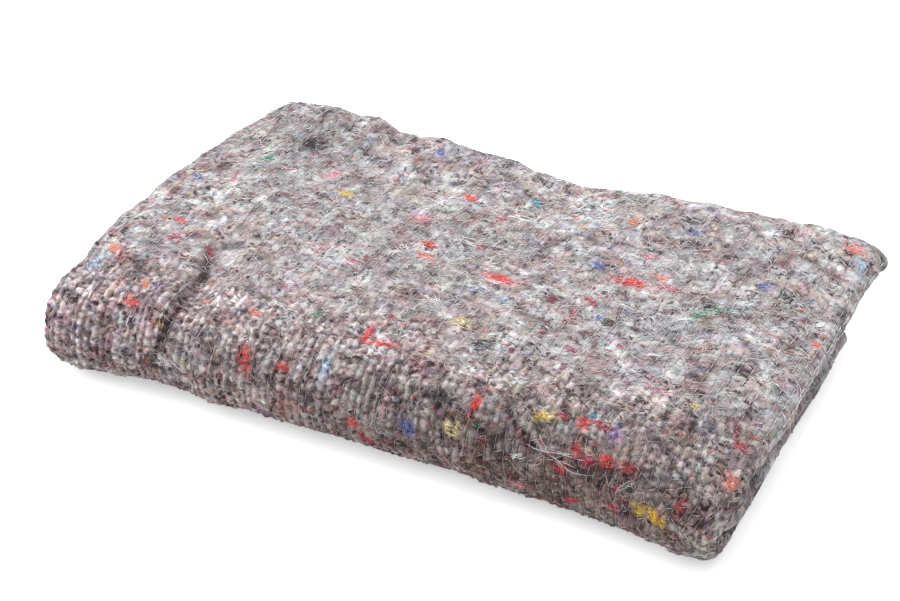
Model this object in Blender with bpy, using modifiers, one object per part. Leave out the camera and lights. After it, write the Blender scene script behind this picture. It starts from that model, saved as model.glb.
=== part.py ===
"""A folded moving blanket of stitch-bonded felt, in metres, +Z up.

One sheet of cloth is laid in four across its length, like a book folded twice, and the
bundle of four is then laid in four across its width. That makes sixteen layers in one
piece. The round front fold looks towards -Y, the long sides run along X, and the bundle
rests on its flat underside. The origin is the middle of the underside.
"""

import math
from collections import namedtuple

import bpy
import numpy as np

# The cloth.
CLOTH_LENGTH = 2.00
CLOTH_WIDTH = 1.20
CLOTH_THICKNESS = 0.0036
LAYER_PITCH = 0.0051

# A strip folded in half and in half again: the level of each run, in pitches from the
# middle, in the order in which the cloth runs through them.
FOLDED_TWICE = (-1.5, 1.5, 0.5, -0.5)
BUNDLE_PITCH = len(FOLDED_TWICE) * LAYER_PITCH
LAYERS = len(FOLDED_TWICE) ** 2

# How far the round front fold and the smaller back fold stand out from the straight runs.
FRONT_NOSE = 2 * BUNDLE_PITCH
BACK_NOSE = BUNDLE_PITCH

# Where each straight run is divided, as shares of its length. All layers share these,
# so the flat facets of one layer lie along those of the next.
LENGTH_STATIONS = (0.0, 0.07, 0.14, 0.185, 0.225, 0.30, 0.43, 0.58, 0.72, 0.84, 0.93, 1.0)
WIDTH_STATIONS = (0.0, 0.14, 0.30, 0.48, 0.66, 0.84, 1.0)
LENGTH_TURN_STEPS = (6, 4, 4)
WIDTH_TURN_STEPS = (10, 6, 6)

# How far the two loose ends of the bundle stop short of the back fold, at the left and
# the right end: the bottom run first, then the third layer of the bundle.
LOOSE_END_LEFT = (0.010, 0.004)
LOOSE_END_RIGHT = (0.056, 0.048)

# The height of the pile at its corners.
Corners = namedtuple("Corners", "front_left front_right back_right back_left")
HEIGHT = Corners(0.074, 0.085, 0.079, 0.071)

# Soft swells: where they lie along an edge, how far they reach along it, and how much
# they add. The two ends of the pile lose a share of its height. The lines of the front,
# back, left and right edges move outwards, by a length.
Swell = namedtuple("Swell", "at reach amount")
END_SINK = (Swell(-0.262, 0.045, -0.06), Swell(0.262, 0.034, -0.12))
FRONT_LINE = (
    Swell(-0.235, 0.036, 0.009),
    Swell(-0.186, 0.020, 0.003),
    Swell(-0.090, 0.060, 0.0015),
    Swell(0.238, 0.040, 0.010),
)
BACK_LINE = (
    Swell(-0.212, 0.030, 0.006),
    Swell(-0.160, 0.030, 0.004),
    Swell(-0.120, 0.016, -0.006),
    Swell(0.032, 0.046, -0.015),
    Swell(0.120, 0.040, -0.003),
    Swell(0.250, 0.030, 0.002),
    Swell(-0.040, 0.200, -0.005),
)
LEFT_LINE = (
    Swell(0.000, 0.025, -0.003),
    Swell(0.048, 0.022, -0.006),
    Swell(0.110, 0.080, 0.006),
    Swell(0.330, 0.080, -0.019),
)
RIGHT_LINE = (Swell(0.150, 0.050, -0.0015), Swell(0.290, 0.050, -0.0035))

# At the right end the top layers of the bundle reach furthest out. Below each of these
# bands of height the layers are tucked in by a further amount.
Tuck = namedtuple("Tuck", "low high amount")
RIGHT_OVERHANG = 0.009
RIGHT_TUCKS = (Tuck(0.045, 0.066, 0.0075), Tuck(0.006, 0.028, 0.0050))

# The diagonal crease near the left end, from the front fold up over the top. It takes a
# share of the height away, and its slant is the change in x for each metre of y.
CREASE_AT_FRONT = -0.140
CREASE_SLANT = -0.20
CREASE_REACH = 0.013
CREASE_DEPTH = 0.09
CREASE_FADES = (0.085, 0.150)

# How far in from an edge its line still moves the cloth.
EDGE_RAMP = 0.130
UNDERSIDE_LEVEL = CLOTH_THICKNESS / 2


def turn_radii(pitch):
    """The radius of each turn between the runs of a strip folded twice."""
    return [abs(b - a) * pitch / 2 for a, b in zip(FOLDED_TWICE, FOLDED_TWICE[1:])]


def run_length(cloth, pitch):
    """The straight run that is left when the turns are taken out of the cloth's size."""
    return (cloth - math.pi * sum(turn_radii(pitch))) / len(FOLDED_TWICE)


def folded_strip(run, pitch, stations, turn_steps, heading):
    """Rows of (along, level, normal along, normal level, run) down a strip folded twice.

    The strip starts on a run that heads towards +along where heading is 1, and the
    normals are on the left of the way it goes.
    """
    rows = []
    for index, level in enumerate(FOLDED_TWICE):
        for share in stations:
            rows.append((heading * (share - 0.5) * run, level * pitch, 0.0, heading, index))
        if index + 1 < len(FOLDED_TWICE):
            rise = (FOLDED_TWICE[index + 1] - level) * pitch / 2
            steps = turn_steps[index]
            for step in range(1, steps):
                angle = math.pi * step / steps
                out, up = math.sin(angle), math.cos(angle)
                rows.append((
                    heading * (run / 2 + abs(rise) * out),
                    level * pitch + rise * (1 - up),
                    -math.copysign(out, rise),
                    heading * up,
                    index + 0.5,
                ))
        heading = -heading
    return np.array(rows)


def ease(low, high, value):
    """0 below low, 1 above high, and a smooth rise between them."""
    share = np.clip((value - low) / (high - low), 0.0, 1.0)
    return share * share * (3 - 2 * share)


def swells(table, along):
    """The sum of a table's swells at each place along an edge."""
    return sum(s.amount * np.exp(-(((along - s.at) / s.reach) ** 2)) for s in table)


def corner_blend(corners, right, back):
    """A value given at four corners, blended over the bundle."""
    front = corners.front_left * (1 - right) + corners.front_right * right
    rear = corners.back_left * (1 - right) + corners.back_right * right
    return front * (1 - back) + rear * back


def shorten_loose_ends(x, y, run, front, back):
    """Draws the two loose runs in, more at the right end than at the left."""
    right = np.clip(x / run_length(CLOTH_LENGTH, LAYER_PITCH) + 0.5, 0.0, 1.0)
    for index, left_gap, right_gap in zip((0, 3), LOOSE_END_LEFT, LOOSE_END_RIGHT):
        gap = left_gap + (right_gap - left_gap) * right
        drawn = front + (y - front) * (1 - gap / (back - front))
        y = np.where((run == index) & (y > front), drawn, y)
    return y


def settle(x, y, z):
    """Gives the square bundle the lie of a real one: its outline, lean, sinks and crease.

    x is from the middle, y from the front of the front fold, and z from the floor.
    """
    half_length = run_length(CLOTH_LENGTH, LAYER_PITCH) / 2 + 2 * LAYER_PITCH
    depth = FRONT_NOSE + run_length(CLOTH_WIDTH, BUNDLE_PITCH) + BACK_NOSE
    full_height = LAYERS * LAYER_PITCH

    right = np.clip(x / (2 * half_length) + 0.5, 0.0, 1.0)
    back = np.clip(y / depth, 0.0, 1.0)
    scale = corner_blend(HEIGHT, right, back) / full_height * (1 + swells(END_SINK, x))

    crease_line = CREASE_AT_FRONT + CREASE_SLANT * y
    crease = CREASE_DEPTH * np.exp(-(((x - crease_line) / CREASE_REACH) ** 2))
    crease = crease * (1 - ease(*CREASE_FADES, y))
    new_z = UNDERSIDE_LEVEL + (z - UNDERSIDE_LEVEL) * scale * (1 - crease)

    to_front = 1 - ease(0.0, EDGE_RAMP, y)
    to_back = ease(depth - EDGE_RAMP, depth, y)
    new_y = y - swells(FRONT_LINE, x) * to_front + swells(BACK_LINE, x) * to_back
    new_y = new_y + (FRONT_NOSE - np.minimum(y, FRONT_NOSE)) * crease

    to_left = 1 - ease(-half_length, EDGE_RAMP - half_length, x)
    to_right = ease(half_length - EDGE_RAMP, half_length, x)
    tucked = sum(t.amount * (1 - ease(t.low, t.high, z)) for t in RIGHT_TUCKS)
    right_out = RIGHT_OVERHANG - tucked + swells(RIGHT_LINE, y)
    new_x = x - swells(LEFT_LINE, y) * to_left + right_out * to_right
    return new_x, new_y, new_z


def fold_cloth():
    """The points of the sheet's middle surface, row by row across the width."""
    across = folded_strip(
        run_length(CLOTH_LENGTH, LAYER_PITCH), LAYER_PITCH, LENGTH_STATIONS, LENGTH_TURN_STEPS, 1
    )
    along = folded_strip(
        run_length(CLOTH_WIDTH, BUNDLE_PITCH), BUNDLE_PITCH, WIDTH_STATIONS, WIDTH_TURN_STEPS, -1
    )
    front = FRONT_NOSE
    back = front + run_length(CLOTH_WIDTH, BUNDLE_PITCH)
    middle = (front + back) / 2
    middle_level = UNDERSIDE_LEVEL + (LAYERS - 1) / 2 * LAYER_PITCH
    x = np.broadcast_to(across[:, 0], (len(along), len(across)))
    offset = across[:, 1]
    y = middle + along[:, 0, None] + along[:, 2, None] * offset
    z = middle_level + along[:, 1, None] + along[:, 3, None] * offset
    run = np.broadcast_to(along[:, 4, None], y.shape)
    y = shorten_loose_ends(x, y, run, front, back)
    return np.stack(settle(x, y, z), axis=-1)


def cloth_sheet(name, points):
    """A grid whose corners take the folded points, given its thickness by Solidify."""
    rows, columns = points.shape[:2]
    bpy.ops.mesh.primitive_grid_add(x_subdivisions=columns - 1, y_subdivisions=rows - 1, size=1)
    sheet = bpy.context.object
    sheet.name = sheet.data.name = name
    flat = np.empty(3 * len(sheet.data.vertices))
    sheet.data.vertices.foreach_get("co", flat)
    flat = flat.reshape(-1, 3) + 0.5
    column = np.rint(flat[:, 0] * (columns - 1)).astype(int)
    row = np.rint(flat[:, 1] * (rows - 1)).astype(int)
    placed = points[row, column]
    middle = (placed.min(axis=0) + placed.max(axis=0)) / 2
    placed = placed - (middle[0], middle[1], 0.0)
    sheet.data.vertices.foreach_set("co", placed.ravel())
    sheet.data.shade_smooth()
    sheet.data.update()
    thickness = sheet.modifiers.new("thickness", "SOLIDIFY")
    thickness.thickness = CLOTH_THICKNESS
    thickness.offset = 0.0
    thickness.use_quality_normals = True
    return sheet


def felt_material():
    """Grey-mauve felt of torn-up fibres, matt."""
    material = bpy.data.materials.new("recycled_felt")
    material.use_nodes = True
    shader = material.node_tree.nodes["Principled BSDF"]
    shader.inputs["Base Color"].default_value = (0.36, 0.31, 0.31, 1.0)
    shader.inputs["Roughness"].default_value = 0.95
    shader.inputs["Metallic"].default_value = 0.0
    return material


def main():
    for thing in list(bpy.data.objects):
        bpy.data.objects.remove(thing)
    collection = bpy.data.collections.new("moving_blanket")
    bpy.context.scene.collection.children.link(collection)
    blanket = cloth_sheet("blanket", fold_cloth())
    blanket.data.materials.append(felt_material())
    for holder in list(blanket.users_collection):
        holder.objects.unlink(blanket)
    collection.objects.link(blanket)


main()
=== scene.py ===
"""The looks of a folded moving blanket of stitch-bonded recycled felt, in metres, +Z up.

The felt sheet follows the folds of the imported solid. Over it lie the sewing thread, two
layers of matted short fibres, the long pale fibres, and the coloured and dark tufts, each
as its own piece.
"""

import math
from collections import namedtuple

import bmesh
import bpy
import numpy as np
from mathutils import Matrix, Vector

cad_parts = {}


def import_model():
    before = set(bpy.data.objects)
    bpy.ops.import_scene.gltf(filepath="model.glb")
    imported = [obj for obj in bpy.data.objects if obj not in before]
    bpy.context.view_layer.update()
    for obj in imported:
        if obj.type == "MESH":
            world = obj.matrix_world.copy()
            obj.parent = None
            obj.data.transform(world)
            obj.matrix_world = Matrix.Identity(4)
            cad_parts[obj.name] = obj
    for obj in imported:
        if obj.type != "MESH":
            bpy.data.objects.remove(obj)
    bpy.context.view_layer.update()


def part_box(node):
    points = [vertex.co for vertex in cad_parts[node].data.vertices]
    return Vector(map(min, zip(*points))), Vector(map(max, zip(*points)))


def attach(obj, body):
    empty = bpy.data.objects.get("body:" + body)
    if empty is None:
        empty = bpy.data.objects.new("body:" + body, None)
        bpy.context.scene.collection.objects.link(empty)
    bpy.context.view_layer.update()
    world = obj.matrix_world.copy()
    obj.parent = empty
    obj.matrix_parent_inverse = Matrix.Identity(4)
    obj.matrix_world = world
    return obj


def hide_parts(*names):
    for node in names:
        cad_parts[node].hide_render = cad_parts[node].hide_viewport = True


MM = 0.001
TINY = 1e-12

# The cloth and its folds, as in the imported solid.
CLOTH_LENGTH = 2.00
CLOTH_WIDTH = 1.20
CLOTH_THICKNESS = 3.6 * MM
LAYER_PITCH = 5.1 * MM
FOLDED_TWICE = (-1.5, 1.5, 0.5, -0.5)
BUNDLE_PITCH = len(FOLDED_TWICE) * LAYER_PITCH
LAYERS = len(FOLDED_TWICE) ** 2
FRONT_NOSE = 2 * BUNDLE_PITCH
BACK_NOSE = BUNDLE_PITCH
LOOSE_END_LEFT = (0.010, 0.004)
LOOSE_END_RIGHT = (0.056, 0.048)
EDGE_RAMP = 0.130
UNDERSIDE_LEVEL = CLOTH_THICKNESS / 2

# The lie of the bundle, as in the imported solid.
Corners = namedtuple("Corners", "front_left front_right back_right back_left")
Swell = namedtuple("Swell", "at reach amount")
Tuck = namedtuple("Tuck", "low high amount")
HEIGHT = Corners(0.074, 0.085, 0.079, 0.071)
END_SINK = (Swell(-0.262, 0.045, -0.06), Swell(0.262, 0.034, -0.12))
FRONT_LINE = (
    Swell(-0.235, 0.036, 0.009),
    Swell(-0.186, 0.020, 0.003),
    Swell(-0.090, 0.060, 0.0015),
    Swell(0.238, 0.040, 0.010),
)
BACK_LINE = (
    Swell(-0.212, 0.030, 0.006),
    Swell(-0.160, 0.030, 0.004),
    Swell(-0.120, 0.016, -0.006),
    Swell(0.032, 0.046, -0.015),
    Swell(0.120, 0.040, -0.003),
    Swell(0.250, 0.030, 0.002),
    Swell(-0.040, 0.200, -0.005),
)
LEFT_LINE = (
    Swell(0.000, 0.025, -0.003),
    Swell(0.048, 0.022, -0.006),
    Swell(0.110, 0.080, 0.006),
    Swell(0.330, 0.080, -0.019),
)
RIGHT_LINE = (Swell(0.150, 0.050, -0.0015), Swell(0.290, 0.050, -0.0035))
RIGHT_OVERHANG = 0.009
RIGHT_TUCKS = (Tuck(0.045, 0.066, 0.0075), Tuck(0.006, 0.028, 0.0050))
CREASE_AT_FRONT = -0.140
CREASE_SLANT = -0.20
CREASE_REACH = 0.013
CREASE_DEPTH = 0.09
CREASE_FADES = (0.085, 0.150)


# --- the folds ----------------------------------------------------------------------------

# A straight run is divided at shares of its length, and a turn in even steps. The face of
# the cloth keeps every division, and its back only every so many of them.
Divided = namedtuple("Divided", "shares keep_every")
Station = namedtuple("Station", "along level normal_along normal_level run kept")

RIBS_ON_TOP = 82
COLUMNS_A_RIB = 4


def even(steps):
    """Evenly spaced shares from 0 to 1."""
    return tuple(step / steps for step in range(steps + 1))


def from_the_other_end(shares):
    """The same shares, measured from the other end."""
    return tuple(1 - share for share in reversed(shares))


# Inner runs are coarse, but closely divided where the crease crosses them.
INNER_RUN = (0.0, 0.07, 0.12, 0.145, 0.17, 0.195, 0.22, 0.25, 0.31, 0.42, 0.56, 0.70, 0.85, 1.0)
LENGTH_RUNS = (
    Divided(INNER_RUN, 1),
    Divided(even(RIBS_ON_TOP * COLUMNS_A_RIB), 6),
    Divided(INNER_RUN, 1),
    Divided(from_the_other_end(INNER_RUN), 1),
)
LENGTH_TURNS = (Divided(even(16), 4), Divided(even(8), 2), Divided(even(4), 1))
WIDTH_RUNS = (
    Divided(even(12), 1),
    Divided(even(84), 12),
    Divided(even(14), 1),
    Divided(even(14), 1),
)
WIDTH_TURNS = (Divided(even(78), 6), Divided(even(18), 3), Divided(even(8), 1))


def turn_radii(pitch):
    """The radius of each turn between the runs of a strip folded twice."""
    return [abs(b - a) * pitch / 2 for a, b in zip(FOLDED_TWICE, FOLDED_TWICE[1:])]


def run_length(cloth, pitch):
    """The straight run that is left when the turns are taken out of the cloth's size."""
    return (cloth - math.pi * sum(turn_radii(pitch))) / len(FOLDED_TWICE)


def folded_strip(run, pitch, runs, turns, heading):
    """The stations down a strip folded twice, one field to an array.

    The strip starts on a run that heads towards +along where heading is 1, and the
    normals are on the left of the way it goes.
    """
    stations = []
    for index, level in enumerate(FOLDED_TWICE):
        shares, keep = runs[index]
        for step, share in enumerate(shares):
            kept = step % keep == 0 or share == 1.0
            stations.append((heading * (share - 0.5) * run, level * pitch, 0.0, heading, index, kept))
        if index + 1 < len(FOLDED_TWICE):
            rise = (FOLDED_TWICE[index + 1] - level) * pitch / 2
            shares, keep = turns[index]
            for step, share in enumerate(shares[1:-1], start=1):
                out, up = math.sin(math.pi * share), math.cos(math.pi * share)
                stations.append((
                    heading * (run / 2 + abs(rise) * out),
                    level * pitch + rise * (1 - up),
                    -math.copysign(out, rise),
                    heading * up,
                    index + 0.5,
                    step % keep == 0,
                ))
        heading = -heading
    return Station(*(np.array(field) for field in zip(*stations)))


def ease(low, high, value):
    """0 below low, 1 above high, and a smooth rise between them."""
    share = np.clip((value - low) / (high - low), 0.0, 1.0)
    return share * share * (3 - 2 * share)


def swells(table, along):
    """The sum of a table's swells at each place along an edge."""
    return sum(s.amount * np.exp(-(((along - s.at) / s.reach) ** 2)) for s in table)


def corner_blend(corners, right, back):
    """A value given at four corners, blended between them."""
    front = corners.front_left * (1 - right) + corners.front_right * right
    rear = corners.back_left * (1 - right) + corners.back_right * right
    return front * (1 - back) + rear * back


def shorten_loose_ends(x, y, run, front, back):
    """Draws the two loose runs in, more at the right end than at the left."""
    right = np.clip(x / run_length(CLOTH_LENGTH, LAYER_PITCH) + 0.5, 0.0, 1.0)
    for index, left_gap, right_gap in zip((0, 3), LOOSE_END_LEFT, LOOSE_END_RIGHT):
        gap = left_gap + (right_gap - left_gap) * right
        drawn = front + (y - front) * (1 - gap / (back - front))
        y = np.where((run == index) & (y > front), drawn, y)
    return y


def settle(x, y, z):
    """Gives the square bundle the lie of a real one: its outline, lean, sinks and crease.

    x is from the middle, y from the front of the front fold, and z from the floor.
    """
    half_length = run_length(CLOTH_LENGTH, LAYER_PITCH) / 2 + 2 * LAYER_PITCH
    depth = FRONT_NOSE + run_length(CLOTH_WIDTH, BUNDLE_PITCH) + BACK_NOSE
    full_height = LAYERS * LAYER_PITCH

    right = np.clip(x / (2 * half_length) + 0.5, 0.0, 1.0)
    back = np.clip(y / depth, 0.0, 1.0)
    scale = corner_blend(HEIGHT, right, back) / full_height * (1 + swells(END_SINK, x))

    crease_line = CREASE_AT_FRONT + CREASE_SLANT * y
    crease = CREASE_DEPTH * np.exp(-(((x - crease_line) / CREASE_REACH) ** 2))
    crease = crease * (1 - ease(*CREASE_FADES, y))
    new_z = UNDERSIDE_LEVEL + (z - UNDERSIDE_LEVEL) * scale * (1 - crease)

    to_front = 1 - ease(0.0, EDGE_RAMP, y)
    to_back = ease(depth - EDGE_RAMP, depth, y)
    new_y = y - swells(FRONT_LINE, x) * to_front + swells(BACK_LINE, x) * to_back
    new_y = new_y + (FRONT_NOSE - np.minimum(y, FRONT_NOSE)) * crease

    to_left = 1 - ease(-half_length, EDGE_RAMP - half_length, x)
    to_right = ease(half_length - EDGE_RAMP, half_length, x)
    tucked = sum(t.amount * (1 - ease(t.low, t.high, z)) for t in RIGHT_TUCKS)
    right_out = RIGHT_OVERHANG - tucked + swells(RIGHT_LINE, y)
    new_x = x - swells(LEFT_LINE, y) * to_left + right_out * to_right
    return new_x, new_y, new_z


def folded_side(columns, rows, lift):
    """The points of the folded cloth at a height over its middle surface, row by row."""
    front = FRONT_NOSE
    back = front + run_length(CLOTH_WIDTH, BUNDLE_PITCH)
    middle_level = UNDERSIDE_LEVEL + (LAYERS - 1) / 2 * LAYER_PITCH
    offset = columns.level + columns.normal_level * lift
    x = np.broadcast_to(columns.along + columns.normal_along * lift, (len(rows.run), len(columns.run)))
    y = (front + back) / 2 + rows.along[:, None] + rows.normal_along[:, None] * offset
    z = middle_level + rows.level[:, None] + rows.normal_level[:, None] * offset
    run = np.broadcast_to(rows.run[:, None], y.shape)
    y = shorten_loose_ends(x, y, run, front, back)
    return np.stack(settle(x, y, z), axis=-1)


# --- the skin: the face side of the cloth, with its relief --------------------------------

Skin = namedtuple("Skin", "points normals x y marks open")
Marks = namedtuple("Marks", "skin_start front_start top_start back_start back_end")

NOISE_LATTICE = 512
ROW_PITCH = run_length(CLOTH_LENGTH, LAYER_PITCH) / RIBS_ON_TOP
STITCH = 7.0 * MM

# Ribs stand up between the stitch rows, fainter to the right of the front than to its left,
# and beads stand up along each rib between its stitches.
RIB_DEPTH = 1.9 * MM
RIB_DEPTH_ON_TOP = 0.45 * MM
RIB_FADES = 50 * MM
RIB_STANDS_OUT = 0.4
FAINTEST_RIBS = 0.62
RIBS_STRENGTHEN = (90 * MM, 260 * MM)
GROOVE_SHARPNESS = 1.6
BEAD_DEPTH = 0.95 * MM
BEADS_ON_TOP = 0.2

# How unevenly things lie: by how much, over what length, and the seed of the noise.
Uneven = namedtuple("Uneven", "amount length seed")
RIBS_UNEVEN = Uneven(0.6, 14 * MM, 21)
RIBS_PATCHY = Uneven(0.7, 40 * MM, 22)
BEADS_UNEVEN = Uneven(0.40, 9 * MM, 23)
ROWS_WANDER = Uneven(1.3 * MM, 30 * MM, 24)
BEADS_STRAY = Uneven(0.6, 20 * MM, 25)

# Relief is less on the ends of the pile than on its top, and none at the floor.
END_OPENNESS = 0.7
FLOOR_CLEARS = 15 * MM

# Lumps of the felt: how high they are, and how wide.
LUMPS = (
    Uneven(1.7 * MM, 60 * MM, 11),
    Uneven(1.2 * MM, 24 * MM, 12),
    Uneven(0.9 * MM, 10 * MM, 13),
    Uneven(0.85 * MM, 5.5 * MM, 14),
)

# The ends of the pile bulge unevenly where the cloth turns, and stand out a little more.
END_LUMPS = Uneven(1.9 * MM, 17 * MM, 15)
END_FULLNESS = 0.8 * MM

# Creases: the places (across from the right end, up from the foot of the front fold) that
# each runs through, in millimetres, and how far it reaches and how deep it is.
Crease = namedtuple("Crease", "places reach depth")
CREASE_ENDS_FADE = 15 * MM
CREASES = (
    Crease(((415, 66), (409, 88), (407, 112), (410, 148), (421, 172)), 3.4 * MM, 3.4 * MM),
    Crease(((427, 40), (436, 80), (441, 118)), 7 * MM, 1.3 * MM),
    Crease(((352, 44), (340, 84), (318, 112)), 9 * MM, 1.4 * MM),
    Crease(((250, 60), (233, 96), (228, 120)), 8 * MM, 1.5 * MM),
    Crease(((118, 60), (104, 92), (96, 118)), 9 * MM, 1.4 * MM),
    Crease(((452, 150), (448, 205), (462, 262)), 12 * MM, 1.6 * MM),
)


def soft_noise(x, y, cell, seed):
    """Smooth noise from -1 to 1 over the cloth, with about one hump to each cell."""
    lattice = np.random.default_rng(seed).uniform(-1.0, 1.0, (NOISE_LATTICE, NOISE_LATTICE))
    x, y = np.broadcast_arrays(np.asarray(x, float) / cell, np.asarray(y, float) / cell)
    left, low = np.floor(x).astype(int), np.floor(y).astype(int)
    across, up = ease(0.0, 1.0, x - left), ease(0.0, 1.0, y - low)
    left, low = left % NOISE_LATTICE, low % NOISE_LATTICE
    right, high = (left + 1) % NOISE_LATTICE, (low + 1) % NOISE_LATTICE
    corners = (lattice[left, low], lattice[right, low], lattice[right, high], lattice[left, high])
    return corner_blend(Corners(*corners), across, up)


def unevenness(uneven, x, y):
    """How much more or less of something lies at distances along the cloth."""
    return uneven.amount * soft_noise(x, y, uneven.length, uneven.seed)


def along_rib(uneven, rib, y):
    """Unevenness along each rib, different from rib to rib."""
    return uneven.amount * soft_noise(rib, y / uneven.length, 1.0, uneven.seed)


def distances(steps):
    """Distances along a line from its first point, from the lengths of its steps."""
    return np.concatenate(([0.0], np.cumsum(steps)))


def to_unit(vectors):
    """The vectors at a length of 1, where they have a length."""
    return vectors / np.maximum(np.linalg.norm(vectors, axis=-1, keepdims=True), TINY)


def grid_normals(points):
    """The outward normals of the face side, from its neighbouring points."""
    return to_unit(np.cross(np.gradient(points, axis=0), np.gradient(points, axis=1)))


def openness(columns, rows):
    """How far each place of the face side is laid open, from 0 inside the pile to 1."""
    skin = (columns.run == 1) & np.isin(rows.run, (0.5, 1, 1.5))[:, None]
    ends = np.isin(columns.run, (0.5, 1.5)) & (rows.run != 2.5)[:, None]
    return np.maximum(skin * 1.0, ends * END_OPENNESS)


def rib_phase(x, marks):
    """Stitch rows from the start of the outer skin: whole numbers lie in a row."""
    return (x - marks.skin_start) / ROW_PITCH


def cloth_places(places, marks):
    """Places (across, up) in millimetres, as distances along the cloth."""
    return np.array(places) * MM + (marks.skin_start, marks.front_start)


def folded_share(y, marks):
    """1 round the front fold, and less and less over the top, as the felt lies flatter."""
    over_top = 1 - ease(0.0, RIB_FADES, y - marks.top_start)
    return np.where(y < marks.top_start, 1.0, over_top)


def groove_at(x, marks):
    """1 in the narrow groove along each stitch row, and 0 on the round back of each rib."""
    phase = rib_phase(x, marks)
    return (1 - 2 * np.abs(phase - np.round(phase))) ** GROOVE_SHARPNESS


def crease_at(crease, x, y, marks):
    """1 along the bottom of a crease, fading out to its sides and past its two ends."""
    across, up = np.array(crease.places).T * MM
    up = up + marks.front_start
    line = np.interp(y, up, across) + marks.skin_start
    past = np.maximum(up[0] - y, 0) + np.maximum(y - up[-1], 0)
    return np.exp(-(((x - line) / crease.reach) ** 2) - (past / CREASE_ENDS_FADE) ** 2)


def bead_at(x, y, marks):
    """1 on top of each bead that the stitches pinch off along a rib, and -1 between two."""
    rib = np.floor(rib_phase(x, marks))
    phase = y / STITCH + 0.5 * rib + along_rib(BEADS_STRAY, rib, y)
    wave = np.cos(2 * math.pi * phase)
    return wave * (1 - BEADS_UNEVEN.amount + along_rib(BEADS_UNEVEN, rib, y))


def ribbed_share(x, marks):
    """How strongly the ribs show: fully at the left of the front, and less to the right."""
    return FAINTEST_RIBS + (1 - FAINTEST_RIBS) * ease(*RIBS_STRENGTHEN, x - marks.skin_start)


def relief(x, y, marks):
    """How high the face side stands over its smooth folds."""
    folded = folded_share(y, marks)
    uneven = 0.9 + along_rib(RIBS_UNEVEN, np.round(rib_phase(x, marks)), y)
    patchy = 1 + unevenness(RIBS_PATCHY, x, y)
    depth = RIB_DEPTH * folded * (0.5 + 0.5 * patchy) + RIB_DEPTH_ON_TOP * (1 - folded) * patchy
    ribs = depth * uneven * (RIB_STANDS_OUT - groove_at(x, marks))
    beads = BEAD_DEPTH * (BEADS_ON_TOP + (1 - BEADS_ON_TOP) * folded) * bead_at(x, y, marks)
    height = (ribs + beads) * ribbed_share(x, marks)
    height = height - sum(crease.depth * crease_at(crease, x, y, marks) for crease in CREASES)
    return height + sum(unevenness(lump, x, y) for lump in LUMPS)


def cloth_distances(points, columns, rows):
    """The distances along the cloth of each column and row, and the marks among them."""
    middle_column = np.flatnonzero(columns.run == 1)[RIBS_ON_TOP * COLUMNS_A_RIB // 2]
    middle_row = np.flatnonzero(rows.run == 1)[len(WIDTH_RUNS[1].shares) // 2]
    down = np.linalg.norm(np.diff(points, axis=0), axis=-1)
    inmost_turn = rows.run[1:] > 2
    y = distances(np.where(inmost_turn, down.max(axis=1), down[:, middle_column]))
    x = distances(np.linalg.norm(np.diff(points[middle_row], axis=0), axis=-1))
    marks = Marks(
        x[columns.run == 1][0],
        y[rows.run == 0][-1],
        y[rows.run == 1][0],
        y[rows.run == 1][-1],
        y[rows.run == 2][0],
    )
    return x, y, marks


def skin_of(columns, rows):
    """The face side of the folded cloth with its relief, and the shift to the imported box."""
    points = folded_side(columns, rows, -CLOTH_THICKNESS / 2)
    low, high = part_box("blanket")
    middle = (points.min(axis=(0, 1)) + points.max(axis=(0, 1))) / 2
    shift = np.array([(low.x + high.x) / 2 - middle[0], (low.y + high.y) / 2 - middle[1], 0.0])
    points = points + shift

    x, y, marks = cloth_distances(points, columns, rows)
    normals = grid_normals(points)
    opened = openness(columns, rows)
    xs, ys = np.broadcast_arrays(x[None, :], y[:, None])
    amount = opened * ease(0.0, FLOOR_CLEARS, points[..., 2])
    wander = along_rib(ROWS_WANDER, rib_phase(xs, marks), ys) * amount
    points = points + to_unit(np.gradient(points, axis=1)) * wander[..., None]
    bulge = END_FULLNESS + unevenness(END_LUMPS, xs, ys)
    raised = relief(xs, ys, marks) + bulge * np.abs(columns.normal_along)
    points = points + normals * (raised * amount)[..., None]
    points[..., 2] = np.maximum(points[..., 2], 0.0)
    return Skin(points, grid_normals(points), x, y, marks, opened), shift


def lay_on(skin, x, y, height):
    """Points at distances x and y along the cloth and a height over it, and their normals."""
    columns = np.interp(x, skin.x, np.arange(len(skin.x)))
    rows = np.interp(y, skin.y, np.arange(len(skin.y)))
    left = np.minimum(columns.astype(int), len(skin.x) - 2)
    low = np.minimum(rows.astype(int), len(skin.y) - 2)
    right, high = left + 1, low + 1
    across, up = (columns - left)[..., None], (rows - low)[..., None]

    def between(grid):
        corners = (grid[low, left], grid[low, right], grid[high, right], grid[high, left])
        return corner_blend(Corners(*corners), across, up)

    normals = to_unit(between(skin.normals))
    return between(skin.points) + normals * np.asarray(height)[..., None], normals


# --- the colours that lie in the felt -----------------------------------------------------

FELT = np.array((0.237, 0.2285, 0.2285))
FRONT_IS_BROWNER = np.array((0.980, 0.966, 0.935))
# Painted shade: how much darker the felt is in the groove of each stitch row, in the dips between
# beads, and along the main crease.
GROOVE_PAINTED_SHADE = 0.60
BEAD_GAP_PAINTED_SHADE = 0.15
CREASE_PAINTED_SHADE = 1.1

# Where the felt is darker, each of red, green and blue falls by this much of it.
DARKER_IS_MAUVE = np.array((0.88, 1.05, 1.00))

# Light and dark clouds: how much they lighten or darken, and how wide they are.
CLOUDS = (
    Uneven(0.08, 80 * MM, 61),
    Uneven(0.14, 34 * MM, 62),
    Uneven(0.22, 15 * MM, 63),
    Uneven(0.32, 7.5 * MM, 64),
)

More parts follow.
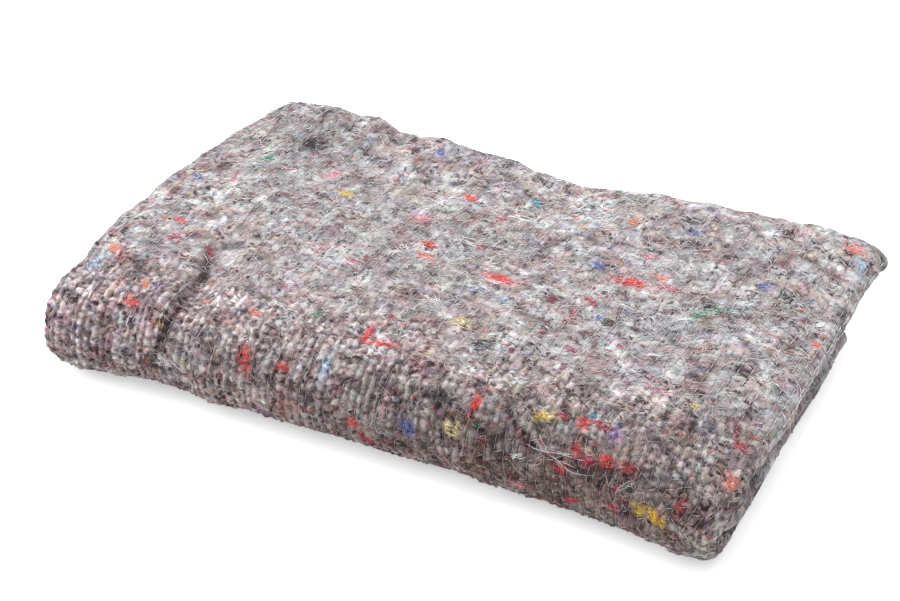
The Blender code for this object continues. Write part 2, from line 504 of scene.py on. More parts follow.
# Tints of the torn-up cloth in the felt: where the noise of this width is over the level.
Tint = namedtuple("Tint", "colour width level strength seed")
TINTS = (
    Tint((1.00, 0.80, 0.81), 7 * MM, 0.20, 0.55, 71),
    Tint((0.86, 0.77, 0.68), 8 * MM, 0.20, 0.60, 72),
    Tint((0.76, 0.84, 0.92), 7 * MM, 0.20, 0.55, 73),
    Tint((0.84, 0.90, 0.78), 7 * MM, 0.30, 0.55, 74),
    Tint((0.82, 0.76, 0.92), 7 * MM, 0.40, 0.50, 75),
    Tint((0.66, 0.50, 0.47), 6 * MM, 0.48, 0.65, 76),
    Tint((0.29, 0.235, 0.26), 6 * MM, 0.48, 0.80, 77),
    Tint((0.53, 0.475, 0.50), 10 * MM, 0.42, 0.55, 78),
    Tint((1.36, 1.42, 1.43), 8 * MM, 0.30, 0.42, 79),
    Tint((0.98, 0.64, 0.65), 7.5 * MM, 0.40, 0.50, 80),
    Tint((0.84, 0.52, 0.56), 6 * MM, 0.60, 0.60, 81),
)

# A tint comes in over this range of the noise, and is longer across the cloth than along it.
TINT_EDGE = 0.35
TINTS_LIE_ACROSS = 1.5

# Patches in the places (across from the right end, up from the foot of the front fold)
# where they lie, in millimetres, with how wide and long they are.
# Their colours are partly the felt's own tone and partly painted light and shade: lighter towards the
# left of the front fold, darker towards its right and in the main crease.
Patch = namedtuple("Patch", "across up wide long colour")
TONE_AND_PAINTED_LIGHT_PATCHES = tuple(Patch(*row) for row in (
    (75, 60, 105, 34, (0.60, 0.52, 0.49)),
    (140, 52, 60, 22, (0.72, 0.60, 0.55)),
    (215, 58, 50, 26, (0.84, 0.77, 0.74)),
    (160, 88, 30, 20, (0.86, 0.86, 0.86)),
    (310, 50, 80, 30, (0.96, 0.89, 0.87)),
    (455, 98, 66, 60, (1.42, 1.38, 1.42)),
    (386, 128, 17, 16, (1.18, 1.19, 1.19)),
    (392, 78, 9, 26, (1.12, 1.12, 1.12)),
    (417, 158, 7, 12, (0.55, 0.54, 0.55)),
    (468, 170, 42, 32, (0.72, 0.73, 0.74)),
    (455, 325, 60, 55, (0.80, 0.80, 0.81)),
    (432, 330, 22, 14, (0.52, 0.52, 0.56)),
    (385, 338, 16, 8, (0.50, 0.50, 0.52)),
    (330, 350, 90, 26, (0.88, 0.87, 0.88)),
    (200, 300, 46, 30, (1.12, 1.13, 1.13)),
    (94, 216, 44, 28, (0.80, 0.80, 0.80)),
    (30, 345, 60, 30, (1.18, 1.18, 1.17)),
    (325, 128, 60, 30, (1.50, 1.48, 1.49)),
    (400, 112, 50, 24, (1.10, 1.11, 1.11)),
    (112, 130, 60, 28, (1.32, 1.30, 1.30)),
    (-10, 62, 28, 34, (1.36, 1.36, 1.30)),
    (225, 118, 40, 24, (1.36, 1.34, 1.34)),
    (252, 62, 30, 22, (0.74, 0.74, 0.73)),
    (255, 271, 33, 24, (0.77, 0.77, 0.77)),
    (300, 190, 70, 30, (1.06, 1.06, 1.07)),
    (441, 360, 38, 18, (0.84, 0.84, 0.85)),
    (430, 276, 28, 24, (0.84, 0.84, 0.85)),
    (329, 229, 26, 22, (0.87, 0.87, 0.87)),
    (32, 285, 30, 26, (0.80, 0.80, 0.80)),
    (-13, 293, 20, 30, (0.85, 0.85, 0.85)),
    (168, 89, 28, 20, (0.84, 0.84, 0.84)),
    (24, 149, 34, 26, (0.78, 0.79, 0.79)),
    (32, 72, 28, 18, (0.90, 0.90, 0.90)),
    (331, 152, 26, 18, (1.16, 1.16, 1.16)),
    (491, 73, 24, 28, (1.20, 1.20, 1.20)),
    (298, 67, 30, 22, (1.20, 1.20, 1.20)),
    (443, 57, 30, 20, (1.12, 1.12, 1.12)),
    (95, 82, 26, 12, (0.60, 0.46, 0.43)),
    (48, 112, 18, 10, (0.72, 0.70, 0.72)),
    (5, 105, 22, 16, (0.85, 0.85, 0.85)),
    (122, 288, 28, 20, (0.86, 0.86, 0.86)),
))

# Tufts of coloured cloth, in the same places: how long and wide, which way they lie (in
# degrees from the way across), and their colour.
Fleck = namedtuple("Fleck", "across up long wide turn colour")
RED = (0.56, 0.050, 0.045)
SCARLET = (0.68, 0.060, 0.035)
CRIMSON = (0.30, 0.032, 0.055)
MAROON = (0.12, 0.022, 0.032)
GARNET = (0.34, 0.040, 0.055)
CORAL = (0.55, 0.170, 0.130)
ORANGE = (0.52, 0.180, 0.070)
YELLOW = (0.50, 0.380, 0.075)
GOLD = (0.58, 0.360, 0.035)
STRAW = (0.54, 0.470, 0.260)
PINK = (0.50, 0.220, 0.265)
ROSE = (0.40, 0.115, 0.150)
MAGENTA = (0.32, 0.060, 0.160)
BLUE = (0.09, 0.115, 0.310)
SKY = (0.26, 0.360, 0.460)
GREEN = (0.07, 0.220, 0.160)
TEAL = (0.06, 0.240, 0.290)
VIOLET = (0.20, 0.140, 0.290)
COAL = (0.03, 0.030, 0.033)
STEEL = (0.17, 0.190, 0.240)

FLECKS = tuple(Fleck(*row) for row in (
    (219, 229, 23, 10, 0, RED), (133, 264, 25, 9, 5, RED), (107, 269, 17, 6, -5, ROSE),
    (118, 279, 10, 6, 20, CORAL), (271, 130, 21, 6, 75, RED), (259, 124, 24, 4, -10, RED),
    (282, 246, 10, 7, 10, RED), (343, 85, 18, 8, 78, RED), (423, 177, 9, 5, 30, CRIMSON),
    (175, 98, 15, 7, 100, SCARLET), (128, 103, 13, 6, 0, YELLOW), (101, 106, 8, 9, 0, RED),
    (88, 108, 17, 6, 10, CRIMSON), (116, 106, 8, 4, 0, CRIMSON), (99, 88, 9, 7, 60, GARNET),
    (90, 83, 9, 8, 0, CRIMSON), (79, 86, 10, 7, 0, RED), (108, 72, 9, 7, 0, GARNET),
    (64, 86, 11, 7, 0, GARNET), (66, 72, 5, 6, 0, CRIMSON), (66, 57, 6, 7, 0, CRIMSON),
    (98, 50, 9, 5, 0, GARNET), (137, 50, 8, 6, 0, PINK), (250, 47, 15, 7, 60, CRIMSON),
    (259, 62, 8, 6, 90, RED), (11, 149, 23, 6, 70, MAROON), (3, 135, 11, 8, 0, CRIMSON),
    (-2, 107, 14, 10, 20, CORAL), (443, 104, 11, 7, 0, RED), (314, 87, 8, 5, 0, RED),
    (443, 121, 9, 4, 60, ORANGE), (484, 152, 13, 8, 40, CORAL), (220, 171, 14, 9, 0, STRAW),
    (34, 64, 15, 8, 20, GOLD), (47, 64, 10, 7, 0, YELLOW), (163, 335, 9, 7, 0, ORANGE),
    (370, 284, 9, 6, 0, YELLOW), (392, 304, 11, 8, 0, PINK), (322, 204, 7, 5, 0, MAGENTA),
    (335, 361, 9, 8, 0, BLUE), (165, 276, 12, 8, 60, BLUE), (484, 260, 7, 5, 0, BLUE),
    (120, 340, 11, 6, 0, BLUE), (50, 300, 8, 7, 0, BLUE), (492, 132, 13, 9, 60, SKY),
    (284, 96, 19, 6, 80, SKY), (66, 260, 18, 5, -20, GREEN), (76, 249, 18, 6, -55, GREEN),
    (313, 138, 8, 5, 0, GREEN), (452, 304, 9, 7, 0, GREEN), (237, 333, 8, 6, 0, TEAL),
    (97, 113, 6, 5, 0, TEAL), (8, 366, 15, 9, 30, CORAL), (0, 354, 13, 8, 60, SKY),
    (43, 152, 6, 5, 0, YELLOW), (79, 104, 11, 8, 60, VIOLET), (-16, 93, 11, 9, 0, COAL),
    (-2, 260, 7, 5, 0, RED), (284, 316, 9, 5, 0, RED), (69, 154, 18, 4, 0, PINK),
    (22, 79, 9, 6, 80, GARNET), (202, 97, 15, 10, 60, COAL), (217, 70, 13, 9, 50, BLUE),
    (186, 79, 11, 8, 30, STRAW), (410, 150, 12, 8, 60, COAL), (410, 82, 14, 4, 80, COAL),
    (432, 330, 22, 12, 0, COAL), (30, 200, 12, 7, 20, COAL), (140, 172, 9, 6, 0, MAGENTA),
    (250, 262, 7, 5, 0, CRIMSON), (352, 120, 9, 6, 20, CORAL), (460, 200, 8, 5, 30, RED),
    (304, 276, 14, 9, 0, PINK), (277, 232, 11, 8, 0, CORAL), (244, 263, 22, 3, -5, COAL),
    (259, 257, 18, 3, 60, COAL), (223, 285, 11, 5, 45, STEEL), (223, 211, 18, 6, 10, STEEL),
    (196, 152, 16, 7, 0, COAL), (265, 155, 7, 7, 0, CRIMSON), (175, 220, 9, 7, 0, MAROON),
    (252, 302, 8, 6, 30, CRIMSON), (137, 299, 12, 4, 0, PINK), (34, 296, 13, 4, 10, COAL),
    (16, 270, 13, 4, 10, COAL), (452, 180, 9, 7, 0, ROSE), (430, 121, 8, 7, 0, VIOLET),
    (421, 61, 12, 6, 85, MAROON), (134, 307, 14, 4, 10, COAL), (85, 322, 10, 4, 0, COAL),
    (125, 350, 14, 6, 0, COAL), (150, 230, 12, 6, 40, CRIMSON), (155, 212, 12, 5, 70, ROSE),
    (128, 212, 11, 6, 20, COAL), (138, 216, 8, 6, 60, BLUE), (205, 205, 7, 5, 0, SKY),
))

# How much of a tuft's colour soaks into the felt under it, and how unevenly.
FLECK_SHOWS = 0.52
FLECK_MOTTLED = Uneven(0.30, 2.5 * MM, 65)

# Coloured cloth of no set place: each colour's share of it.
Tone = namedtuple("Tone", "colour share")
FLECK_TONES = (
    Tone(RED, 0.08), Tone(ROSE, 0.17), Tone(CRIMSON, 0.16), Tone(MAROON, 0.12), Tone(CORAL, 0.06),
    Tone(PINK, 0.13), Tone(ORANGE, 0.04), Tone(YELLOW, 0.04), Tone(BLUE, 0.08), Tone(SKY, 0.05),
    Tone(GREEN, 0.03), Tone(TEAL, 0.03), Tone(VIOLET, 0.06),
)


def spot(x, y, across, up, wide, long, turn, marks):
    """1 in the middle of a soft oval spot, fading to 0 round it. Its sizes are in mm."""
    dx = (x - marks.skin_start) / MM - across
    dy = (y - marks.front_start) / MM - up
    cos, sin = math.cos(math.radians(turn)), math.sin(math.radians(turn))
    return np.exp(-(((dx * cos + dy * sin) / wide) ** 2) - ((dy * cos - dx * sin) / long) ** 2)


def tinted(colour, amount, tint):
    """The colour, multiplied by a tint as far as the amount says."""
    return colour * (1 - amount[..., None] * (1 - np.array(tint)))


def felt_colour(x, y, marks):
    """The colour of the felt at distances along the cloth, with painted shade in its grooves, between
    its beads and along the main crease, and painted light and shade in its patches.
    """
    x, y = np.broadcast_arrays(x, y)
    folded = folded_share(y, marks)
    shade = sum(unevenness(cloud, x, y) for cloud in CLOUDS)
    # Painted shade in the grooves, in the dips between the beads and along the main crease.
    shade = shade - GROOVE_PAINTED_SHADE * groove_at(x, marks) * folded ** 2 * ribbed_share(x, marks)
    shade = shade - BEAD_GAP_PAINTED_SHADE * folded * (1 - bead_at(x, y, marks))
    shade = shade - CREASE_PAINTED_SHADE * crease_at(CREASES[0], x, y, marks)
    colour = FELT * FRONT_IS_BROWNER ** folded[..., None] * np.exp(shade[..., None] * DARKER_IS_MAUVE)
    for tint in TINTS:
        noise = soft_noise(x / TINTS_LIE_ACROSS, y, tint.width, tint.seed)
        amount = tint.strength * ease(tint.level, tint.level + TINT_EDGE, noise)
        colour = tinted(colour, amount, tint.colour)
    # Patches of the felt's own tone mixed with painted light and shade.
    for patch in TONE_AND_PAINTED_LIGHT_PATCHES:
        amount = spot(x, y, patch.across, patch.up, patch.wide, patch.long, 0, marks)
        colour = tinted(colour, amount, patch.colour)
    mottle = unevenness(FLECK_MOTTLED, x, y)
    for fleck in FLECKS:
        amount = spot(x, y, fleck.across, fleck.up, fleck.long / 2, fleck.wide / 2, fleck.turn, marks)
        amount = amount * (FLECK_SHOWS + mottle)
        colour = colour + amount[..., None] * (np.array(fleck.colour) - colour)
    return np.clip(colour, 0.0, 1.0)


# --- pieces -------------------------------------------------------------------------------


def finish_piece(piece, material):
    """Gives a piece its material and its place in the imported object."""
    piece.data.materials.append(material)
    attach(piece, "root")
    return piece


def grid_of(points):
    """A grid whose corners take these points, row by row."""
    rows, columns = points.shape[:2]
    bpy.ops.mesh.primitive_grid_add(x_subdivisions=columns - 1, y_subdivisions=rows - 1, size=1)
    grid = bpy.context.object
    grid.data.vertices.foreach_set("co", points.ravel())
    return grid


def border(rows, columns, kept_rows, kept_columns):
    """Pairs (row, column) round a grid, in order, at the rows and columns that are kept."""
    down, across = list(kept_rows), list(kept_columns)
    last_row, last_column = rows - 1, columns - 1
    round_it = [(0, c) for c in across[:-1]] + [(r, last_column) for r in down[:-1]]
    round_it += [(last_row, c) for c in across[:0:-1]] + [(r, 0) for r in down[:0:-1]]
    return round_it


def close_edges(sheet, rows, columns, kept_rows, kept_columns):
    """Joins the fine face of the sheet to its coarser back, along all four cut edges."""
    row_of = {row: place for place, row in enumerate(kept_rows)}
    column_of = {column: place for place, column in enumerate(kept_columns)}
    face_round = border(rows, columns, range(rows), range(columns))
    kept_round = border(rows, columns, kept_rows, kept_columns)
    face_at = [row * columns + column for row, column in face_round]
    back_at = [rows * columns + row_of[r] * len(kept_columns) + column_of[c] for r, c in kept_round]
    place_of = {pair: place for place, pair in enumerate(face_round)}
    starts = [place_of[pair] for pair in kept_round] + [len(face_round)]

    bm = bmesh.new()
    bm.from_mesh(sheet.data)
    bm.verts.ensure_lookup_table()
    for side, (start, end) in enumerate(zip(starts, starts[1:])):
        along = [face_at[place % len(face_at)] for place in range(start, end + 1)]
        behind = [back_at[(side + 1) % len(back_at)], back_at[side]]
        bm.faces.new([bm.verts[at] for at in along + behind])
    bmesh.ops.recalc_face_normals(bm, faces=bm.faces)
    bm.to_mesh(sheet.data)
    bm.free()


def places_of(x, y):
    """The distances (x, y) along the cloth of each corner of a grid, row by row."""
    return np.stack(np.broadcast_arrays(x[None, :], y[:, None]), -1).reshape(-1, 2)


def mark_cloth(sheet, places, marks):
    """Gives the sheet its map of the cloth, its felt's colours, and where it is folded."""
    corners = np.empty(len(sheet.data.loops), int)
    sheet.data.loops.foreach_get("vertex_index", corners)
    while sheet.data.uv_layers:
        sheet.data.uv_layers.remove(sheet.data.uv_layers[0])
    cloth_map = sheet.data.uv_layers.new(name="cloth")
    cloth_map.uv.foreach_set("vector", places[corners].ravel())
    tint = sheet.data.attributes.new("felt_colour", "FLOAT_COLOR", "POINT")
    colours = felt_colour(places[:, 0], places[:, 1], marks)
    tint.data.foreach_set("color", np.insert(colours, 3, 1.0, axis=1).ravel())
    folded = sheet.data.attributes.new("folded", "FLOAT", "POINT")
    folded.data.foreach_set("value", folded_share(places[:, 1], marks))


def felt_sheet(skin, columns, rows, shift):
    """The felt: a fine face, a plain back at its thickness, and the cut edges between."""
    kept_rows, kept_columns = np.flatnonzero(rows.kept), np.flatnonzero(columns.kept)
    back = folded_side(columns, rows, CLOTH_THICKNESS / 2)[np.ix_(kept_rows, kept_columns)] + shift
    back[..., 2] = np.maximum(back[..., 2], 0.0)
    back_grid = grid_of(back)
    face_grid = grid_of(skin.points)
    bpy.ops.object.select_all(action="DESELECT")
    back_grid.select_set(True)
    face_grid.select_set(True)
    bpy.context.view_layer.objects.active = face_grid
    bpy.ops.object.join()
    sheet = bpy.context.object
    sheet.name = sheet.data.name = "felt_blanket"
    close_edges(sheet, len(rows.run), len(columns.run), kept_rows, kept_columns)
    places = [places_of(skin.x, skin.y), places_of(skin.x[kept_columns], skin.y[kept_rows])]
    mark_cloth(sheet, np.concatenate(places), skin.marks)
    sheet.data.shade_smooth()
    return sheet


# --- fibres and threads -------------------------------------------------------------------

# Short fibres are like the felt under them, times a shade: how light, and its share.
SHADES = (
    Tone((1.22, 1.25, 1.25), 0.18), Tone((1.09, 1.10, 1.10), 0.24), Tone((0.99, 0.99, 0.99), 0.32),
    Tone((0.90, 0.87, 0.88), 0.16), Tone((0.76, 0.69, 0.72), 0.10),
)
PALEST_FIBRE = 0.46
LONG_TONES = (Tone((0.47, 0.46, 0.46), 0.4), Tone((0.35, 0.335, 0.34), 0.6))
WISP_TONES = (Tone((0.60, 0.595, 0.595), 0.6), Tone((0.50, 0.485, 0.49), 0.4))
DARK_TONES = (Tone((0.036, 0.028, 0.033), 0.6), Tone((0.070, 0.050, 0.060), 0.4))
TONES_VARY = (0.86, 1.14)

# A tube of three sides, whose ends taper to this share of its width.
SIDES = 3
TIP = 0.35

# Fibres: their lengths and radii, how far they bend at each step, in radians, their steps,
# how far their ends lie over the cloth, and how far they arch up between them. All but the
# bends and steps are in millimetres, and two numbers are a range.
Fibres = namedtuple("Fibres", "lengths radii bends steps base arch")
SHORT = Fibres((3.5, 10), (0.15, 0.29), 0.55, 6, 0.04, (-0.05, 0.28))
LOOSE = Fibres((12, 42), (0.09, 0.17), (0.3, 0.9), 12, 0.22, (0.0, 0.6))

# Short fibres lie across the cloth, give or take this angle, and jitter up and down.
SHORT_FIBRES_TURN = 0.7
SHORT_FIBRES_JITTER = (-0.12, 0.12)
SHORT_FIBRES = 3700
LOOSE_FIBRES = 1150

# Where long pale fibres lie in tangles, across from the right end and up from the foot of
# the front fold, in millimetres.
TANGLES = (
    (262, 250), (240, 282), (305, 262), (330, 236), (218, 262), (286, 208), (350, 296), (180, 246),
    (150, 300), (255, 170), (205, 130), (386, 150), (300, 108), (240, 66), (112, 158), (50, 75),
    (84, 230), (388, 92), (44, 150), (330, 160),
)
FIBRES_A_TANGLE = 12
TANGLE_SPREAD = 5.5 * MM

# Wisps of thicker pale fibres in the same places: which way they lie, in degrees from the
# way across, how long they are, and how far they turn along their length.
Wisp = namedtuple("Wisp", "across up turn long curl")
WISPS = tuple(Wisp(*row) for row in (
    (251, 184, 25, 38, 35), (246, 186, 70, 16, -60), (243, 309, 24, 30, 80),
    (236, 306, -60, 18, 110), (304, 303, 45, 32, -90), (296, 312, -20, 22, 70),
    (193, 350, 46, 42, 60), (205, 344, 100, 18, -80), (296, 234, 30, 26, 70),
    (300, 226, 120, 18, 60), (404, 68, 10, 30, -50), (398, 72, 70, 22, 80),
    (410, 62, -40, 22, 90), (340, 133, 10, 36, 40), (328, 126, -15, 24, -60),
    (176, 322, 12, 34, 50), (150, 296, -10, 30, -70), (262, 262, 5, 30, 90),
    (222, 224, -12, 26, 60), (130, 238, 10, 30, -60), (86, 190, -8, 26, 80),
    (114, 78, 8, 50, 60), (139, 72, -10, 14, 20),
))

# The strands of a wisp: how long they are as shares of it, their radii and bends, and how
# far they spread, as a share of its length, and turn, in degrees.
STRANDS_A_WISP = 6
STRAND_SHARES = (0.5, 1.0)
STRAND_RADII = (0.12, 0.24)
STRAND_BENDS = (0.08, 0.22)
STRANDS_SPREAD = 0.045
STRANDS_TURN = 4.0


def pick_tones(rng, tones, count):
    """A colour for each of many fibres, from tones and their shares."""
    shares = np.array([tone.share for tone in tones])
    picked = rng.choice(len(tones), count, p=shares / shares.sum())
    colours = np.array([tone.colour for tone in tones]).reshape(len(tones), -1)[picked]
    return np.clip(colours * rng.uniform(*TONES_VARY, (count, 1)), 0.0, 2.0)


def wander_over(rng, starts, heading, lengths, bend, steps):
    """Paths that wander over the cloth about their starts, as x and y of (fibre, step).

    The heading is one for each fibre, or one for each of its steps.
    """
    count = len(starts)
    bends = np.cumsum(bend * rng.normal(0.0, 1.0, (count, steps)), axis=1)
    heading = heading.reshape(count, -1) + bends
    stride = (np.broadcast_to(lengths, count) / (steps - 1))[:, None]
    x = np.cumsum(stride * np.cos(heading), axis=1)
    y = np.cumsum(stride * np.sin(heading), axis=1)
    middle = steps // 2
    return starts[:, :1] + x - x[:, middle:middle + 1], starts[:, 1:] + y - y[:, middle:middle + 1]


def open_places(rng, skin, count, weight):
    """Random distances (x, y) along the cloth where it is laid open, more where weight is."""
    wide, long = np.diff(skin.x), np.diff(skin.y)
    chance = skin.open[:-1, :-1] * skin.open[1:, 1:] * long[:, None] * wide[None, :]
    chance = chance * (skin.points[:-1, :-1, 2] > FLOOR_CLEARS / 3)
    chance = chance * weight(skin.x[None, :-1], skin.y[:-1, None], skin.marks)
    cell = rng.choice(chance.size, count, p=(chance / chance.sum()).ravel())
    row, column = np.unravel_index(cell, chance.shape)
    x = skin.x[column] + wide[column] * rng.random(count)
    y = skin.y[row] + long[row] * rng.random(count)
    return np.stack([x, y], axis=-1)


def tubes(name, points, normals, radius, colours, material):
    """One joined piece of thin tapered tubes along many paths, each in its own colour."""
    count, steps = points.shape[:2]
    along = to_unit(np.gradient(points, axis=1))
    aside = to_unit(np.cross(along, normals))
    up = np.cross(aside, along)
    share = np.linspace(0.0, 1.0, steps)
    taper = TIP + (1 - TIP) * np.sin(math.pi * share) ** 0.5
    radius = (np.broadcast_to(radius, count)[:, None] * taper)[..., None]
    rings = []
    for side in range(SIDES):
        angle = math.pi / 2 + 2 * math.pi * side / SIDES
        rings.append(points + radius * (math.cos(angle) * aside + math.sin(angle) * up))
    vertices = np.stack(rings, axis=2).reshape(-1, 3)

    at = np.arange(count * steps * SIDES).reshape(count, steps, SIDES)
    after = np.roll(at, -1, axis=2)
    walls = np.stack([at[:, :-1], at[:, 1:], after[:, 1:], after[:, :-1]], axis=-1).reshape(-1, 4)
    caps = np.concatenate([at[:, 0], at[:, -1, ::-1]])
    mesh = bpy.data.meshes.new(name)
    mesh.from_pydata(vertices.tolist(), [], walls.tolist() + caps.tolist())
    fibre_of = np.repeat(np.arange(count), steps * SIDES)
    tint = mesh.attributes.new("fibre_colour", "FLOAT_COLOR", "POINT")
    rgba = np.concatenate([colours[fibre_of], np.ones((len(fibre_of), 1))], axis=1)
    tint.data.foreach_set("color", rgba.ravel())
    mesh.shade_smooth()
    piece = bpy.data.objects.new(name, mesh)
    bpy.context.scene.collection.objects.link(piece)
    return finish_piece(piece, material)


# The middle of the top, in millimetres: across, up, and how wide and long it is.
TOP_MIDDLE = (270, 240, 170, 90)

# How much more thickly tufts lie round the front fold than on the top.
TUFTS_IN_FRONT = 1.1


def fewer_on_top(x, y, marks):
    """How thickly the short fibres lie."""
    return 0.6 + 0.4 * folded_share(y, marks)


def top_middle(x, y, marks):
    """How thickly the loose long fibres lie: most in the middle of the top."""
    middle = spot(x, y, *TOP_MIDDLE, 0, marks)
    return 0.35 + 1.3 * middle - 0.12 * folded_share(y, marks)


def more_in_front(x, y, marks):
    """How thickly the coloured and dark tufts lie."""
    return 1 + TUFTS_IN_FRONT * folded_share(y, marks)


def short_fibres(skin, name, count, seed, material):
    """Short matted fibres, which lie in the felt and stand a little out of it."""
    rng = np.random.default_rng(seed)
    starts = open_places(rng, skin, count, fewer_on_top)
    heading = rng.normal(0.0, SHORT_FIBRES_TURN, count)
    lengths = rng.uniform(*SHORT.lengths, count) * MM
    x, y = wander_over(rng, starts, heading, lengths, SHORT.bends, SHORT.steps)
    share = np.linspace(0.0, 1.0, SHORT.steps)
    lift = rng.uniform(*SHORT.arch, (count, 1)) * np.sin(math.pi * share) + SHORT.base
    lift = lift + rng.uniform(*SHORT_FIBRES_JITTER, (count, SHORT.steps))
    points, normals = lay_on(skin, x, y, lift * MM)
    # The felt's colour under each fibre brings its painted light and shade with it.
    colours = felt_colour(starts[:, 0], starts[:, 1], skin.marks) * pick_tones(rng, SHADES, count)
    radius = rng.uniform(*SHORT.radii, count) * MM
    return tubes(name, points, normals, radius, np.minimum(colours, PALEST_FIBRE), material)


def long_fibre_places(rng, skin):
    """Where the long fibres lie: loose, in tangles, and as strands of the wisps."""
    loose = open_places(rng, skin, LOOSE_FIBRES, top_middle)
    tangled = np.repeat(cloth_places(TANGLES, skin.marks), FIBRES_A_TANGLE, axis=0)
    tangled = tangled + rng.normal(0.0, TANGLE_SPREAD, tangled.shape)
    strands = np.repeat(np.array(WISPS), STRANDS_A_WISP, axis=0)
    strewn = rng.normal(0.0, STRANDS_SPREAD, (len(strands), 2)) * strands[:, 3:4] * MM
    strewn = cloth_places(strands[:, :2], skin.marks) + strewn
    return np.concatenate([loose, tangled, strewn]), strands


def long_fibre_headings(rng, curled, strands):
    """Loose fibres set out any way, and the strands of a wisp turn as it does."""
    turned = strands[:, 2] + rng.normal(0.0, STRANDS_TURN, len(strands))
    turned = turned[:, None] + strands[:, 4:] * np.linspace(-0.5, 0.5, LOOSE.steps)
    any_way = np.repeat(rng.uniform(0, 2 * math.pi, (curled, 1)), LOOSE.steps, axis=1)
    return np.concatenate([any_way, np.radians(turned)])


def long_fibres(skin, material):
    """Long pale fibres in loose curls, and tangles and wisps where they have been pulled up."""
    rng = np.random.default_rng(41)
    starts, strands = long_fibre_places(rng, skin)
    curled = len(starts) - len(strands)
    heading = long_fibre_headings(rng, curled, strands)

    def of_each(loose_range, strand_range):
        """Random values for the loose fibres, and then for the strands."""
        loose = rng.uniform(*loose_range, curled)
        return np.concatenate([loose, rng.uniform(*strand_range, len(strands))])

    lengths = of_each(LOOSE.lengths, STRAND_SHARES)
    lengths[curled:] *= strands[:, 3]
    bends = of_each(LOOSE.bends, STRAND_BENDS)
    x, y = wander_over(rng, starts, heading, lengths * MM, bends[:, None], LOOSE.steps)
    share = np.linspace(0.0, 1.0, LOOSE.steps)
    arch = rng.uniform(*LOOSE.arch, (len(starts), 1))
    lift = LOOSE.base + arch * np.sin(math.pi * share) ** 2
    points, normals = lay_on(skin, x, y, lift * MM)
    radius = of_each(LOOSE.radii, STRAND_RADII) * MM
    pale = pick_tones(rng, LONG_TONES, curled)
    colours = np.concatenate([pale, pick_tones(rng, WISP_TONES, len(strands))])
    return tubes("long_fibres", points, normals, radius, colours, material)


# --- tufts --------------------------------------------------------------------------------

# Matted strands of a tuft: how long at most and what share of it, how they spread over its
# length and width, turn and bow, and how far they lie over the cloth, in millimetres.
LONGEST_STRAND = 9 * MM
STRAND_STEPS = 5
STRAND_LENGTHS = (0.3, 0.65)
SPREAD_ALONG = 0.25
SPREAD_ACROSS = 0.30
MATTED_TURN = 0.32
MATTED_BOW = 0.09
MATTED_BASE = 0.20
MATTED_ARCH = 0.40

# How much of a tuft's colour each strand keeps, over the felt's.
STRANDS_KEEP = (0.32, 0.88)

# The placed tufts: how many strands for their size, and how thick, as radii in millimetres.
STRANDS_A_SQUARE_MM = 0.18
STRANDS_A_TUFT = (12, 42)
TUFT_RADII = (0.32, 0.55)

# Tufts strewn over the felt: how many, the longest in millimetres, their tones and how much
# of a tone they keep, the strands of each, and the radii of those in millimetres.
Strewn = namedtuple("Strewn", "name seed count longest tones own strands radii")
COLOURED_FLECKS = Strewn("coloured_flecks", 51, 800, 8.0, FLECK_TONES, 0.68, 6, (0.26, 0.50))
DARK_TUFTS = Strewn("dark_tufts", 52, 420, 10.0, DARK_TONES, 1.0, 8, (0.18, 0.34))
SHORTEST_TUFT = 2.0
TUFT_SHAPES = (0.3, 0.7)
TUFTS_TURN = 0.6


def clump_strands(rng, centres, long, wide, turn, strands):
    """Paths of the strands of clumps, each clump matted along its own direction."""
    clump = np.repeat(np.arange(len(centres)), strands)
    total = len(clump)
    turn = turn[clump]
    along = rng.normal(0.0, SPREAD_ALONG, total) * long[clump]
    across = rng.normal(0.0, SPREAD_ACROSS, total) * wide[clump]
    heading = (turn + rng.normal(0.0, MATTED_TURN, total))[:, None]
    share = np.linspace(-0.5, 0.5, STRAND_STEPS)
    length = np.minimum(long[clump], LONGEST_STRAND) * rng.uniform(*STRAND_LENGTHS, total)
    length = length[:, None]
    run = share * length
    bow = np.cumsum(rng.normal(0.0, MATTED_BOW, (total, STRAND_STEPS)), axis=1) * length
    x = (centres[clump, 0] + (along * np.cos(turn) - across * np.sin(turn)))[:, None]
    y = (centres[clump, 1] + (along * np.sin(turn) + across * np.cos(turn)))[:, None]
    x = x + run * np.cos(heading) - bow * np.sin(heading)
    y = y + run * np.sin(heading) + bow * np.cos(heading)
    lift = MATTED_BASE + MATTED_ARCH * rng.random((total, 1)) * (1 - (2 * share) ** 2)
    return x, y, lift, clump


def clumps(skin, name, rng, centres, sizes, colours, strands, radii, material):
    """Small clumps of matted strands, each clump of one colour."""
    x, y, lift, clump = clump_strands(rng, centres, *sizes, strands)
    points, normals = lay_on(skin, x, y, lift * MM)
    middle = STRAND_STEPS // 2
    # The felt's colour under each strand brings its painted light and shade with it.
    under = felt_colour(x[:, middle], y[:, middle], skin.marks)
    tints = under + (colours[clump] - under) * rng.uniform(*STRANDS_KEEP, (len(clump), 1))
    radius = rng.uniform(*radii, len(clump)) * MM
    return tubes(name, points, normals, radius, np.clip(tints, 0, 1), material)


def placed_flecks(skin, material):
    """The larger tufts of coloured cloth, in their places."""
    rng = np.random.default_rng(50)
    across, up, long, wide, turn = np.array([fleck[:5] for fleck in FLECKS]).T
    centres = cloth_places(np.stack([across, up], axis=-1), skin.marks)
    sizes = (long * MM, wide * MM, np.radians(turn))
    colours = np.array([fleck.colour for fleck in FLECKS])
    strands = np.clip(long * wide * STRANDS_A_SQUARE_MM, *STRANDS_A_TUFT).astype(int)
    return clumps(skin, "coloured_tufts", rng, centres, sizes, colours, strands, TUFT_RADII, material)


